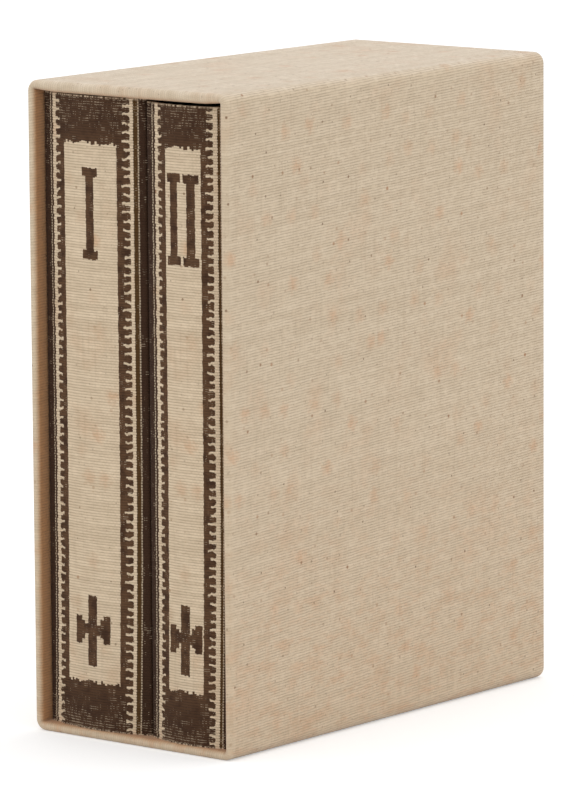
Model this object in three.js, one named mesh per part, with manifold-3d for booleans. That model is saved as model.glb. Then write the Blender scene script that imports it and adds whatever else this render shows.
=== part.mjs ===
// Two cloth-bound volumes in an open-fronted slipcase, in millimetres with +Z up.
// The spines face -Y, and the origin is the middle of the case's underside. Inside the group Y is 0 at
// the mouth.
import * as THREE from 'three';
import { mergeVertices } from 'three/addons/utils/BufferGeometryUtils.js';
import Module from 'manifold-3d';

const wasm = await Module();
wasm.setup();

// Sheet materials.
const clothThick = 0.45;
const glueLine = 0.05;
const caseBoardThick = 2.5;
const coverBoardThick = 2.5;
const spineInlayThick = 1.0;
const spineLiningThick = 0.4;
const caseLiningThick = 0.25;
const endpaperThick = 0.6;

// The volumes. A thickness is over the covers, and a rise is how far the spine bulges. The second
// volume's top is lower than the first one's by secondLower.
const volumeDepth = 195.4;
const volumeHeight = 245.9;
const firstThickness = 51.2;
const firstSpineRise = 4.7;
const secondThickness = 39.6;
const secondSpineRise = 4.4;
const secondLower = 0.9;
const square = 3;
const coverTurnIn = 15;
const shoulderRound = 1.2;
const shoulderLength = 1.8;
const grooveWidth = 6;
const grooveDepth = 1.5;
const inlaySetBack = 1;
const foreEdgeHollow = 4.2;
const headbandRadius = 1.1;
const headbandSetIn = 0.8;

// The slipcase.
const crownRecess = 1;
const foreEdgeClearance = 0.3;
const sideClearance = 0.4;
const betweenClearance = 0.5;
const restClearance = 0.05;
const headClearance = 1.05;
const longEdgeRound = 4.5;
const innerCornerRound = 0.5;
const backEdgeRound = 2;
const mouthFlatLeast = 0.1;
const mouthTurnIn = 22;
const seamSetIn = 7;

// Facets along curved stretches.
const spineSteps = 18;
const grooveSteps = 8;
const edgeSteps = 4;
const longEdgeSteps = 6;
const headbandSides = 8;
const headbandSteps = 12;

const volumes = [
  { name: 'volume_1', thickness: firstThickness, lower: 0, spineRise: firstSpineRise },
  { name: 'volume_2', thickness: secondThickness, lower: secondLower, spineRise: secondSpineRise },
];

// Sizes that follow from the values above.
const sheet = clothThick + glueLine;
const wall = caseBoardThick + 2 * sheet;
const stackWidth = volumes.reduce((sum, volume) => sum + volume.thickness, 0);
const caseWidth = stackWidth + betweenClearance * (volumes.length - 1) + 2 * (sideClearance + wall);
const caseHeight = volumeHeight + headClearance + restClearance + 2 * wall;
const liningFace = wall - clothThick + caseLiningThick;
// The inner corners are sharper than the outer ones, so the nose of the mouth keeps a flat between them.
const mouthFlat = mouthFlatLeast + (Math.SQRT2 - 1) * (longEdgeRound - wall - innerCornerRound);
const backLiningFront = crownRecess + volumeDepth + foreEdgeClearance;
const backBoardFront = backLiningFront + caseLiningThick + glueLine;
const caseDepth = backBoardFront + caseBoardThick + sheet;
const beyond = caseDepth + caseHeight;

// Colours and finishes.
const looks = {
  naturalCloth: { color: 0xc9b89e, roughness: 0.92 },
  printedCloth: { color: 0x8d7a66, roughness: 0.9 },
  greyBoard: { color: 0x8c877e, roughness: 0.95 },
  pages: { color: 0xe9e0cb, roughness: 0.9 },
  endpaper: { color: 0xe4d9c2, roughness: 0.88 },
  liningPaper: { color: 0xd9ccb4, roughness: 0.9 },
  band: { color: 0xcbb591, roughness: 0.85 },
};

function toSolid(geometry) {
  const bare = geometry.clone();
  bare.deleteAttribute('normal');
  bare.deleteAttribute('uv');
  const merged = mergeVertices(bare, 1e-4);
  return new wasm.Manifold(new wasm.Mesh({
    numProp: 3,
    vertProperties: new Float32Array(merged.attributes.position.array),
    triVerts: new Uint32Array(merged.index.array),
  }));
}

function toGeometry(solid) {
  const mesh = solid.getMesh();
  const geometry = new THREE.BufferGeometry();
  geometry.setAttribute('position', new THREE.BufferAttribute(new Float32Array(mesh.vertProperties), 3));
  geometry.setIndex(new THREE.BufferAttribute(new Uint32Array(mesh.triVerts), 1));
  geometry.computeVertexNormals();
  return geometry;
}

function box([x0, y0, z0], [x1, y1, z1]) {
  const geometry = new THREE.BoxGeometry(x1 - x0, y1 - y0, z1 - z0);
  return geometry.translate((x0 + x1) / 2, (y0 + y1) / 2, (z0 + z1) / 2);
}

function extrudeUp(outline, z0, z1) {
  const shape = new THREE.Shape(outline.map(([x, y]) => new THREE.Vector2(x, y)));
  const geometry = new THREE.ExtrudeGeometry(shape, { depth: z1 - z0, bevelEnabled: false });
  return geometry.translate(0, 0, z0);
}

// A section drawn in X and Z, run from y0 to y1, with both of its ends rounded or square.
function extrudeBack(shape, y0, y1, endRound) {
  const geometry = new THREE.ExtrudeGeometry(shape, {
    depth: y1 - y0 - 2 * endRound,
    curveSegments: longEdgeSteps,
    bevelEnabled: endRound > 0,
    bevelThickness: endRound,
    bevelSize: endRound,
    bevelOffset: -endRound,
    bevelSegments: edgeSteps,
  });
  return geometry.rotateX(Math.PI / 2).translate(0, y1 - endRound, 0);
}

function piece(name, geometry, look) {
  const mesh = new THREE.Mesh(geometry, new THREE.MeshStandardMaterial({ metalness: 0, ...looks[look] }));
  mesh.name = name;
  return mesh;
}

// The case's section, set in from its outside, as a rectangle with rounded corners.
function caseSection(setIn, radius) {
  const halfWidth = caseWidth / 2 - setIn;
  const low = setIn;
  const high = caseHeight - setIn;
  const shape = new THREE.Shape();
  shape.moveTo(-halfWidth + radius, low);
  shape.lineTo(halfWidth - radius, low);
  shape.absarc(halfWidth - radius, low + radius, radius, -Math.PI / 2, 0);
  shape.lineTo(halfWidth, high - radius);
  shape.absarc(halfWidth - radius, high - radius, radius, 0, Math.PI / 2);
  shape.lineTo(-halfWidth + radius, high);
  shape.absarc(-halfWidth + radius, high - radius, radius, Math.PI / 2, Math.PI);
  shape.lineTo(-halfWidth, low + radius);
  shape.absarc(-halfWidth + radius, low + radius, radius, Math.PI, Math.PI * 1.5);
  return shape;
}

// A block that fills the case's inside, from a distance in from its outside.
function insideSection(setIn) {
  return caseSection(setIn, innerCornerRound + wall - setIn);
}

function insideBlock(setIn, y0, y1) {
  return extrudeBack(insideSection(setIn), y0, y1, 0);
}

// The four walls as one tube: bull-nosed at the mouth, with eased edges at the back.
function wallTube(outerSetIn, innerSetIn) {
  const outline = caseSection(outerSetIn, longEdgeRound - outerSetIn);
  const ring = outline.clone();
  ring.holes.push(insideSection(innerSetIn));
  const mouthRound = (innerSetIn - outerSetIn - mouthFlat) / 2;
  const tube = extrudeBack(ring, outerSetIn, caseDepth + longEdgeRound, mouthRound);
  const backRound = backEdgeRound - outerSetIn;
  const easedBack = extrudeBack(outline, -2 * longEdgeRound, caseDepth - outerSetIn, backRound);
  return toSolid(tube).intersect(toSolid(easedBack));
}

function slipcase() {
  const group = new THREE.Group();

  const boards = wallTube(sheet, wall - sheet);
  const boardInner = caseWidth / 2 - (wall - sheet);
  const sideLow = [-beyond, -beyond, -beyond];
  const between = boardInner - glueLine;
  const middle = caseHeight / 2;
  const cuts = {
    case_left_board: box(sideLow, [-boardInner, beyond, beyond]),
    case_right_board: box([boardInner, -beyond, -beyond], [beyond, beyond, beyond]),
    case_top_board: box([-between, -beyond, middle], [between, beyond, beyond]),
    case_bottom_board: box([-between, -beyond, -beyond], [between, beyond, middle]),
  };
  for (const [name, cut] of Object.entries(cuts)) {
    group.add(piece(name, toGeometry(boards.intersect(toSolid(cut))), 'greyBoard'));
  }
  const backBoard = insideBlock(wall - clothThick, backBoardFront, caseDepth - sheet);
  group.add(piece('case_back_board', backBoard, 'greyBoard'));

  // The cloth runs over the walls, round the mouth and a turn-in's width down their inner faces.
  const cloth = wallTube(0, wall)
    .subtract(wallTube(clothThick, wall - clothThick))
    .subtract(toSolid(insideBlock(wall - sheet, mouthTurnIn, beyond)));
  const seam = caseWidth / 2 - seamSetIn;
  const underside = toSolid(box([-seam, -beyond, -beyond], [seam, beyond, middle]));
  group.add(piece('case_wrap_cloth', toGeometry(cloth.subtract(underside)), 'naturalCloth'));
  group.add(piece('case_bottom_cloth', toGeometry(cloth.intersect(underside)), 'naturalCloth'));
  const backCloth = insideBlock(wall - clothThick, caseDepth - clothThick, caseDepth);
  group.add(piece('case_back_cloth', backCloth, 'naturalCloth'));

  const liningStart = mouthTurnIn + glueLine;
  const liningEnd = backBoardFront - glueLine;
  const lining = toSolid(insideBlock(wall - clothThick, liningStart, liningEnd))
    .subtract(toSolid(insideBlock(liningFace, -beyond, beyond)));
  group.add(piece('case_lining', toGeometry(lining), 'liningPaper'));
  const backLining = insideBlock(liningFace + glueLine, backLiningFront, liningEnd);
  group.add(piece('case_back_lining', backLining, 'liningPaper'));
  return group;
}

// Points of an arc about the spine's centre, from one side of the volume to the other.
function spineArc(spineRadius, inward, halfSpan) {
  const radius = spineRadius - inward;
  const reach = Math.asin(halfSpan / radius);
  return Array.from({ length: spineSteps + 1 }, (_, i) => {
    const angle = reach * (2 * i / spineSteps - 1);
    return [radius * Math.sin(angle), spineRadius - radius * Math.cos(angle)];
  });
}

function spineBand(spineRadius, outer, inner, halfSpan) {
  return [...spineArc(spineRadius, outer, halfSpan), ...spineArc(spineRadius, inner, halfSpan).reverse()];
}

const mirrored = (points) => points.map(([x, y]) => [-x, y]).reverse();

function volume({ name, thickness, lower, spineRise }) {
  const group = new THREE.Group();
  const add = (part, geometry, look) => group.add(piece(`${name}_${part}`, geometry, look));

  const half = thickness / 2;
  const height = volumeHeight - lower;
  const spineRadius = (half * half + spineRise * spineRise) / (2 * spineRise);
  const coverThick = coverBoardThick + 2 * sheet;
  const spineThick = spineInlayThick + 2 * sheet;
  const hingeThick = 2 * clothThick;
  const inlayHalf = half - shoulderRound - inlaySetBack;
  const boardInner = half - coverThick + sheet;
  const shoulder = spineArc(spineRadius, 0, half - shoulderRound).at(-1);
  const grooveStart = shoulder[1] + shoulderLength;
  const boardStart = grooveStart + grooveWidth + sheet;
  const boardEnd = volumeDepth - sheet;

  // The cover's section: spine, shoulders, hinge grooves and boards, with the cloth over all of it.
  const groove = Array.from({ length: grooveSteps + 1 }, (_, i) => {
    const along = i / grooveSteps;
    const dip = grooveDepth * (1 - Math.cos(2 * Math.PI * along)) / 2;
    return [half - dip, grooveStart + along * grooveWidth];
  });
  const turn = new THREE.QuadraticBezierCurve(
    new THREE.Vector2(...shoulder),
    new THREE.Vector2(half, shoulder[1] + shoulderRound * spineRise / half),
    new THREE.Vector2(...groove[0]),
  );
  const rightOutside = [
    ...turn.getPoints(edgeSteps).slice(1, -1).map((point) => [point.x, point.y]),
    ...groove,
    [half, volumeDepth],
  ];
  const rightInside = [
    [half - coverThick, volumeDepth],
    [half - coverThick, boardStart - sheet],
    ...groove.map(([x, y]) => [x - hingeThick, y]).reverse(),
  ];
  const coverOutline = [
    ...mirrored(rightOutside),
    ...spineArc(spineRadius, 0, half - shoulderRound),
    ...rightOutside,
    ...rightInside,
    ...spineArc(spineRadius, spineThick, inlayHalf).reverse(),
    ...mirrored(rightInside),
  ];

  const board = (outside, inside, gap) => box(
    [Math.min(outside, inside) - gap, boardStart - gap, sheet - gap],
    [Math.max(outside, inside) + gap, boardEnd + gap, height - sheet + gap],
  );
  const sides = { front_board: -1, back_board: 1 };
  for (const [part, side] of Object.entries(sides)) {
    add(part, board(side * boardInner, side * (half - sheet), 0), 'greyBoard');
  }
  const inlay = spineBand(spineRadius, sheet, sheet + spineInlayThick, inlayHalf - glueLine);
  add('spine_inlay', extrudeUp(inlay, sheet, height - sheet), 'greyBoard');

  // The cloth is the cover less what lies inside it and the bare middles that its turn-ins frame.
  let cloth = toSolid(extrudeUp(coverOutline, 0, height));
  const inlayRoom = spineBand(spineRadius, clothThick, spineThick - clothThick, inlayHalf);
  cloth = cloth.subtract(toSolid(extrudeUp(inlayRoom, clothThick, height - clothThick)));
  const spineMiddle = spineBand(spineRadius, sheet, spineThick + sheet, inlayHalf - glueLine);
  cloth = cloth.subtract(toSolid(extrudeUp(spineMiddle, coverTurnIn, height - coverTurnIn)));
  for (const side of Object.values(sides)) {
    const face = side * (half - coverThick);
    const window = box(
      [Math.min(face - side, face + side), boardStart, coverTurnIn],
      [Math.max(face - side, face + side), boardEnd - coverTurnIn, height - coverTurnIn],
    );
    cloth = cloth.subtract(toSolid(board(side * boardInner, side * (half - sheet), glueLine)));
    cloth = cloth.subtract(toSolid(window));
  }
  add('cover_cloth', toGeometry(cloth), 'printedCloth');

  // Inside: the pages, their spine lining and head and tail bands, and the endpapers.
  const pagesLow = square;
  const pagesHigh = height - square;
  const pagesHalf = half - coverThick - endpaperThick - 2 * glueLine;
  const liningInward = spineThick + glueLine;
  const pagesInward = liningInward + spineLiningThick + glueLine;
  const pagesSpine = spineArc(spineRadius, pagesInward, pagesHalf);
  const pagesEnd = volumeDepth - square;
  const hollowRadius = (pagesHalf * pagesHalf + foreEdgeHollow * foreEdgeHollow) / (2 * foreEdgeHollow);
  const foreEdge = spineArc(hollowRadius, 0, pagesHalf)
    .map(([x, y]) => [x, y + pagesEnd - foreEdgeHollow])
    .reverse();
  add('pages', extrudeUp([...pagesSpine, ...foreEdge], pagesLow, pagesHigh), 'pages');
  const spineLining = spineBand(spineRadius, liningInward, liningInward + spineLiningThick, pagesHalf);
  add('spine_lining', extrudeUp(spineLining, pagesLow, pagesHigh), 'liningPaper');

  const endpaperStart = pagesSpine.at(-1)[1] + glueLine;
  for (const [part, side] of Object.entries({ front_endpaper: -1, back_endpaper: 1 })) {
    const inner = pagesHalf + glueLine;
    const outer = inner + endpaperThick;
    const leaf = extrudeUp(
      [[inner, endpaperStart], [outer, endpaperStart], [outer, pagesEnd], [inner, pagesEnd]]
        .map(([x, y]) => [side * x, y]),
      pagesLow,
      pagesHigh,
    );
    const gap = glueLine;
    const padLow = [side * inner, boardStart + gap, coverTurnIn + gap];
    const padHigh = [side * (boardInner - gap), boardEnd - coverTurnIn - gap, height - coverTurnIn - gap];
    const pad = box(
      [Math.min(padLow[0], padHigh[0]), padLow[1], padLow[2]],
      [Math.max(padLow[0], padHigh[0]), padHigh[1], padHigh[2]],
    );
    add(part, toGeometry(toSolid(leaf).add(toSolid(pad))), 'endpaper');
  }

  const bandInward = pagesInward + headbandRadius;
  const bandPoints = spineArc(spineRadius, bandInward, pagesHalf - headbandSetIn);
  const bandSection = new THREE.Shape(Array.from({ length: headbandSides }, (_, i) => {
    const angle = 2 * Math.PI * i / headbandSides;
    return new THREE.Vector2(headbandRadius * Math.cos(angle), headbandRadius * Math.sin(angle));
  }));
  const bands = {
    headband: pagesHigh + glueLine + headbandRadius,
    tailband: pagesLow - glueLine - headbandRadius,
  };
  for (const [part, z] of Object.entries(bands)) {
    const path = new THREE.CatmullRomCurve3(bandPoints.map(([x, y]) => new THREE.Vector3(x, y, z)));
    const band = new THREE.ExtrudeGeometry(bandSection, { steps: headbandSteps, extrudePath: path });
    add(part, band, 'band');
  }
  return group;
}

const group = new THREE.Group();
group.position.y = -caseDepth / 2;
group.add(slipcase());
let left = -caseWidth / 2 + wall + sideClearance;
for (const sizes of volumes) {
  const book = volume(sizes);
  book.position.set(left + sizes.thickness / 2, crownRecess, wall + restClearance);
  group.add(book);
  left += sizes.thickness + betweenClearance;
}

export default group;
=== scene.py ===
# %% [markdown]
# # Two cloth-bound volumes in a slipcase
#
# A slipcase is a box of binder's board with one open side, covered in the same cloth as the books that
# it holds. Two volumes stand in it with their spines at the mouth. The spines are block-printed in dark
# brown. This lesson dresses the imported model: it keeps every hidden board and sheet, and rebuilds the
# cloth that shows, because cloth needs coordinates that follow its threads.

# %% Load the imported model
import math
import bmesh
import bpy
import numpy as np
from mathutils import Matrix, Vector


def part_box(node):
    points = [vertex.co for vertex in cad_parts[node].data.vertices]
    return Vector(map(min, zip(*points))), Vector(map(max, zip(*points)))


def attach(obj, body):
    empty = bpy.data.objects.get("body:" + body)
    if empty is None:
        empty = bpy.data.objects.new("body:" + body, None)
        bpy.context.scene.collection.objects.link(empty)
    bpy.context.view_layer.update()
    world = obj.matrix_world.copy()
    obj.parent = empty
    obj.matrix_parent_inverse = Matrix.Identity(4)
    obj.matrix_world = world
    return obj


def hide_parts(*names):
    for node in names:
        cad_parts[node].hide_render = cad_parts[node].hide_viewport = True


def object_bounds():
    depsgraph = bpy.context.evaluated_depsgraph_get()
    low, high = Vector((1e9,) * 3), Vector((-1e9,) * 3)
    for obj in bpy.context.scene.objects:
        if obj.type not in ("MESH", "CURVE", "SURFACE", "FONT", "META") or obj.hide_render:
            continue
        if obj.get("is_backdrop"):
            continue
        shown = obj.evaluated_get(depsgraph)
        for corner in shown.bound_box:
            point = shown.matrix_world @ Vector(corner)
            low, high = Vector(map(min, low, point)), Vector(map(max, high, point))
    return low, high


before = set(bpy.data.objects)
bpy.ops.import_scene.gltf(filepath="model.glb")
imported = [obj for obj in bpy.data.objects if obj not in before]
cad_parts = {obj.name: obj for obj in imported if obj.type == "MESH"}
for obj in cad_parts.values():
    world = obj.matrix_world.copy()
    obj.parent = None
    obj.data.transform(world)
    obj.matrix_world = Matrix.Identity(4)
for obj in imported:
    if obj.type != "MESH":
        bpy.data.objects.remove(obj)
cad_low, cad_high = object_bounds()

MM = 0.001
print("case box, mm:", [round(v / MM, 1) for v in (cad_high - cad_low)])

# %% [markdown]
# ## The camera
#
# The photograph was taken from some way off with a long lens, a little above the set and to the right of
# its spines. A camera far away with a long lens keeps the upright edges almost parallel, as they are
# there. It is aimed at the middle of the set, then slid and rolled by small amounts.

# %% Camera
AZIMUTH, ELEVATION, ROLL = math.radians(39.04), math.radians(8.94), math.radians(0.407)
DISTANCE = 2324.0 * MM
SLIDE_RIGHT, SLIDE_DOWN = -2.46 * MM, 5.19 * MM
LENS = 265.6


def place_camera():
    back = Vector((
        math.sin(AZIMUTH) * math.cos(ELEVATION),
        -math.cos(AZIMUTH) * math.cos(ELEVATION),
        math.sin(ELEVATION),
    ))
    level = Vector((math.cos(AZIMUTH), math.sin(AZIMUTH), 0))
    down = (-back).cross(level)
    right = math.cos(ROLL) * level + math.sin(ROLL) * down
    down = -math.sin(ROLL) * level + math.cos(ROLL) * down
    centre = (cad_low + cad_high) / 2
    camera = bpy.data.objects.new("camera", bpy.data.cameras.new("camera"))
    bpy.context.scene.collection.objects.link(camera)
    camera.data.lens = LENS
    camera.data.clip_start, camera.data.clip_end = 0.05, 50
    place = centre + back * DISTANCE + right * SLIDE_RIGHT + down * SLIDE_DOWN
    turn = Matrix((right, -down, back)).transposed().to_4x4()
    camera.matrix_world = Matrix.Translation(place) @ turn
    bpy.context.scene.camera = camera
    return camera


camera = place_camera()
print("camera at, m:", [round(v, 3) for v in camera.matrix_world.translation])

# %% [markdown]
# ## A short way to write nodes
#
# Node trees get long when each node and link takes a line of its own. This small class adds a node, joins
# whatever is passed to it, and gives back the output socket, so a pattern reads like a sum.

# %% Node writing helper


class Nodes:
    """Adds nodes to a tree. A value passed in is a number, a colour or another node's socket."""

    def __init__(self, tree):
        self.tree = tree

    def join(self, value, socket):
        if isinstance(value, bpy.types.NodeSocket):
            self.tree.links.new(value, socket)
        else:
            socket.default_value = value

    def add(self, kind, values=(), **settings):
        node = self.tree.nodes.new(kind)
        for key, value in settings.items():
            setattr(node, key, value)
        for key, value in dict(values).items():
            self.join(value, node.inputs[key])
        return node

    def math(self, operation, *values, clamp=False):
        node = self.add("ShaderNodeMath", enumerate(values), operation=operation, use_clamp=clamp)
        return node.outputs[0]

    def plus(self, first, second, **options):
        return self.math("ADD", first, second, **options)

    def minus(self, first, second, **options):
        return self.math("SUBTRACT", first, second, **options)

    def times(self, first, second, **options):
        return self.math("MULTIPLY", first, second, **options)

    def over(self, first, second):
        return self.math("DIVIDE", first, second)

    def times_plus(self, value, factor, extra, **options):
        return self.math("MULTIPLY_ADD", value, factor, extra, **options)

    def size(self, value):
        return self.math("ABSOLUTE", value)

    def rest(self, value, **options):
        """What the value leaves of 1."""
        return self.minus(1.0, value, **options)

    def step(self, value, low, high):
        """0 below low and 1 above high, with a smooth ramp between."""
        node = self.add("ShaderNodeMapRange", {"Value": value, "From Min": low, "From Max": high},
                        interpolation_type="SMOOTHSTEP")
        return node.outputs["Result"]

    def spread(self, value, low, high):
        """Takes 0 to 1 to low to high."""
        node = self.add("ShaderNodeMapRange", {"Value": value, "To Min": low, "To Max": high})
        return node.outputs["Result"]

    def vector(self, x, y, z=0.0):
        return self.add("ShaderNodeCombineXYZ", enumerate((x, y, z))).outputs[0]

    def noise(self, vector, scale=1.0, detail=2.0, roughness=0.5):
        values = {"Vector": vector, "Scale": scale, "Detail": detail, "Roughness": roughness}
        return self.add("ShaderNodeTexNoise", values).outputs["Fac"]

    def stretched(self, x, y, z=0.0):
        """A place for noise. X and y are each a value and how fast the noise runs along it."""
        return self.vector(self.times(*x), self.times(*y), z)

    def chance(self, number, output="Value"):
        """A random value, or a random colour, for each whole number."""
        return self.add("ShaderNodeTexWhiteNoise", {"W": number}, noise_dimensions="1D").outputs[output]

    def mix(self, factor, first, second):
        node = self.add("ShaderNodeMix", data_type="RGBA")
        for key, value in (("Factor_Float", factor), ("A_Color", first), ("B_Color", second)):
            socket = next(s for s in node.inputs if s.identifier == key)
            self.join(value, socket)
        return next(s for s in node.outputs if s.identifier == "Result_Color")

    def finish(self, end, results):
        """Joins a group's results to its end node, by name."""
        for key, value in results.items():
            self.join(value, end.inputs[key])

    def place(self, tree, values):
        """Adds a group, joins values to its inputs and gives back its outputs."""
        node = self.tree.nodes.new("ShaderNodeGroup")
        node.node_tree = tree
        for key, value in values.items():
            self.join(value, node.inputs[key])
        return node.outputs


def new_group(name, inputs, outputs):
    """A shader group with named number sockets; gives the tree, its node writer, inputs and end node."""
    tree = bpy.data.node_groups.new(name, "ShaderNodeTree")
    for socket_name, default in inputs.items():
        socket = tree.interface.new_socket(socket_name, in_out="INPUT", socket_type="NodeSocketFloat")
        socket.default_value = default
    for socket_name in outputs:
        tree.interface.new_socket(socket_name, in_out="OUTPUT", socket_type="NodeSocketFloat")
    start = tree.nodes.new("NodeGroupInput")
    end = tree.nodes.new("NodeGroupOutput")
    return tree, Nodes(tree), start.outputs, end


def srgb(red, green, blue):
    """A colour read from a picture, 0 to 255, as the linear colour that shaders use."""
    def linear(value):
        value /= 255
        return value / 12.92 if value <= 0.04045 else ((value + 0.055) / 1.055) ** 2.4
    return (linear(red), linear(green), linear(blue), 1.0)


print("helpers ready")

# %% [markdown]
# ## Ribbed cloth
#
# The cloth is a cotton rep: thick weft threads lie side by side as ribs about a millimetre apart, and fine
# warp threads cross over them. One node group makes it from two coordinates in millimetres, along the
# ribs and across them, so the same weave covers the case and the spines at the same scale. The ribs wander
# a little, vary in thickness, and swell here and there into slubs. Numbers that set how fast a noise runs
# are in turns for each millimetre, so a small one makes a broad patch.

# %% Ribbed cloth group
RIB_PITCH, THREAD_PITCH = 1.066, 0.62
RIB_STRIDE = 3.71


def make_ribbed_cloth():
    tree, nodes, given, end = new_group(
        "ribbed_cloth",
        {"Along": 0.0, "Across": 0.0, "Rib Pitch": RIB_PITCH, "Thread Pitch": THREAD_PITCH, "Wander": 0.5,
         "Faintest": 0.35},
        ["Height", "Valley", "Rib Tone", "Thread Gap", "Rib Number", "Warp Tone"])
    along, across = given["Along"], given["Across"]

    # The ribs drift over several centimetres and quiver over a few millimetres.
    drift = nodes.noise(nodes.stretched((along, 0.03), (across, 0.12)))
    quiver = nodes.noise(nodes.stretched((along, 0.30), (across, 0.45), 5.0), detail=1.0)
    wander = nodes.times_plus(nodes.minus(quiver, 0.5), 0.6, nodes.minus(drift, 0.5))
    moved = nodes.times_plus(wander, given["Wander"], across)
    count = nodes.over(moved, given["Rib Pitch"])
    number = nodes.math("FLOOR", count)
    phase = nodes.minus(count, number)
    rib = nodes.math("POWER", nodes.math("SINE", nodes.times(phase, math.pi)), 0.6)
    own = nodes.chance(number)

    # A rib is plump in one stretch and sinks into the cloth in the next, and no rib does as its neighbour.
    plump = nodes.noise(nodes.stretched((along, 0.33), (number, RIB_STRIDE), 1.0), detail=3.0)
    strength = nodes.spread(nodes.step(plump, 0.33, 0.58), given["Faintest"], 1.0)

    # Each warp thread crosses a rib in front and the next behind, so the beads step by half.
    beads = nodes.plus(nodes.over(along, given["Thread Pitch"]), nodes.times(number, 0.5))
    bead = nodes.size(nodes.math("SINE", nodes.times(beads, math.pi)))
    swell = nodes.noise(nodes.stretched((along, 0.11), (number, RIB_STRIDE), 9.0), detail=3.0)
    slub = nodes.step(swell, 0.62, 0.76)

    height = nodes.times(nodes.times(rib, strength), nodes.spread(bead, 0.6, 1.0))
    height = nodes.times(height, nodes.spread(own, 0.8, 1.0))
    height = nodes.times_plus(slub, 0.35, height)
    valley = nodes.times(nodes.rest(rib, clamp=True), strength)
    tone = nodes.times_plus(swell, 0.7, nodes.times(own, 0.3))
    gap = nodes.math("POWER", nodes.rest(bead), 2.0)

    # Here and there a run of the fine threads that cross the ribs is darker.
    warp = nodes.noise(nodes.stretched((along, 0.55), (across, 0.035), 15.0), detail=3.0, roughness=0.6)
    results = {"Height": height, "Valley": valley, "Rib Tone": tone, "Thread Gap": gap,
               "Rib Number": number, "Warp Tone": nodes.step(warp, 0.5, 0.72)}
    nodes.finish(end, results)
    return tree


ribbed_cloth = make_ribbed_cloth()
print("ribbed cloth group:", len(ribbed_cloth.nodes), "nodes")

# %% [markdown]
# ## Flecks and faint stains
#
# Natural cloth keeps bits of seed husk, which show as brown specks a millimetre or less across, with finer
# ones between them, and old cloth has faint warm stains. The group gives one mask for each, from the same
# two coordinates. Each speck is the middle of a Voronoi cell, whose random colour decides whether it is
# there, how dark and how large it is. Scattered points of geometry would give thousands of pieces for marks
# that have no thickness.

# %% Flecks group


def make_flecks():
    tree, nodes, given, end = new_group(
        "flecks",
        {"Along": 0.0, "Across": 0.0, "Spacing": 8.0, "Amount": 0.55, "Stain Spacing": 15.0},
        ["Speck", "Speck Warmth", "Stain", "Cloud"])
    along, across = given["Along"], given["Across"]

    def scattered(spacing, shift):
        place = nodes.vector(nodes.plus(nodes.over(along, spacing), shift), nodes.over(across, spacing))
        cell = nodes.add("ShaderNodeTexVoronoi", {"Vector": place, "Scale": 1.0}, voronoi_dimensions="2D")
        chance = nodes.add("ShaderNodeSeparateColor", {"Color": cell.outputs["Color"]}).outputs
        return nodes.times(cell.outputs["Distance"], spacing), chance

    # Specks: most are faint and small, a few are dark, and fine ones lie between them.
    distance, chance = scattered(given["Spacing"], 0.0)
    kept = nodes.math("GREATER_THAN", given["Amount"], chance[0])
    darkness = nodes.spread(nodes.math("POWER", chance[1], 3.0), 0.3, 1.0)
    size = nodes.spread(chance[2], 0.32, 0.8)
    ragged = nodes.noise(nodes.vector(along, nodes.times(across, 1.8)), scale=1.7)
    reach = nodes.times_plus(nodes.minus(ragged, 0.5), 0.5, distance)
    speck = nodes.rest(nodes.step(nodes.over(reach, size), 0.5, 1.2))
    clear = nodes.times(nodes.times(speck, kept), darkness)
    warmth = nodes.math("POWER", chance[2], 3.0)
    distance, chance = scattered(nodes.times(given["Spacing"], 0.45), 9.0)
    faint = nodes.times(nodes.math("GREATER_THAN", given["Amount"], chance[0]), chance[1])
    small = nodes.rest(nodes.step(distance, 0.1, 0.42))
    specks = nodes.times_plus(nodes.times(faint, small), 0.45, clear, clamp=True)

    # Stains: soft warm spots a few millimetres across.
    distance, chance = scattered(given["Stain Spacing"], 4.0)
    soft = nodes.noise(nodes.vector(along, across, 8.0), scale=0.5, detail=3.0)
    reach = nodes.times_plus(nodes.minus(soft, 0.5), 7.0, distance)
    spot = nodes.rest(nodes.step(reach, 0.0, 4.5))
    spot = nodes.times(spot, nodes.math("POWER", chance[1], 1.5))
    broad = nodes.noise(nodes.vector(along, across, 7.0), scale=0.04, detail=5.0, roughness=0.6)
    stain = nodes.times_plus(nodes.step(broad, 0.52, 0.75), 0.5, spot, clamp=True)
    cloud = nodes.noise(nodes.vector(along, across, 31.0), scale=0.10, detail=5.0, roughness=0.7)
    nodes.finish(end, {"Speck": specks, "Speck Warmth": warmth, "Stain": stain, "Cloud": cloud})
    return tree


flecks = make_flecks()
print("flecks group:", len(flecks.nodes), "nodes")

# %% [markdown]
# ## The case cloth's finish
#
# The colour is one warm natural tone with painted shade between the ribs and in the gaps along them, and a
# little darker along some ribs and some runs of the crossing threads. Specks and stains come from the group
# above. The cloth was pasted on slightly off the grain, so the ribs climb by about two and a half degrees
# towards the back.
# The tones were matched to cloth in even light, as colours that a picture would show.

# %% Cloth tones and material helpers
NATURAL_LIGHT = srgb(227, 208, 181)
TOP_PAINTED_LIGHT = srgb(238, 224, 206)
NATURAL_DARK = srgb(205, 184, 155)
VALLEY_SHADE_AND_WARP_TONE = srgb(160, 137, 108)
HUSK_BROWN = srgb(104, 76, 50)
HUSK_ORANGE = srgb(172, 118, 76)
STAIN_TONE = srgb(214, 168, 130)
TURN_IN_PAINTED_SHADE = srgb(184, 131, 82)
CLOTH_MAP = "cloth_mm"


def new_material(name, roughness):
    material = bpy.data.materials.new(name)
    material.use_nodes = True
    nodes = Nodes(material.node_tree)
    shader = material.node_tree.nodes["Principled BSDF"]
    shader.inputs["Roughness"].default_value = roughness
    return material, nodes, shader


def bump(nodes, shader, height, distance):
    node = nodes.add("ShaderNodeBump", {"Height": height, "Strength": 1.0, "Distance": distance})
    nodes.join(node.outputs["Normal"], shader.inputs["Normal"])


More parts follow.
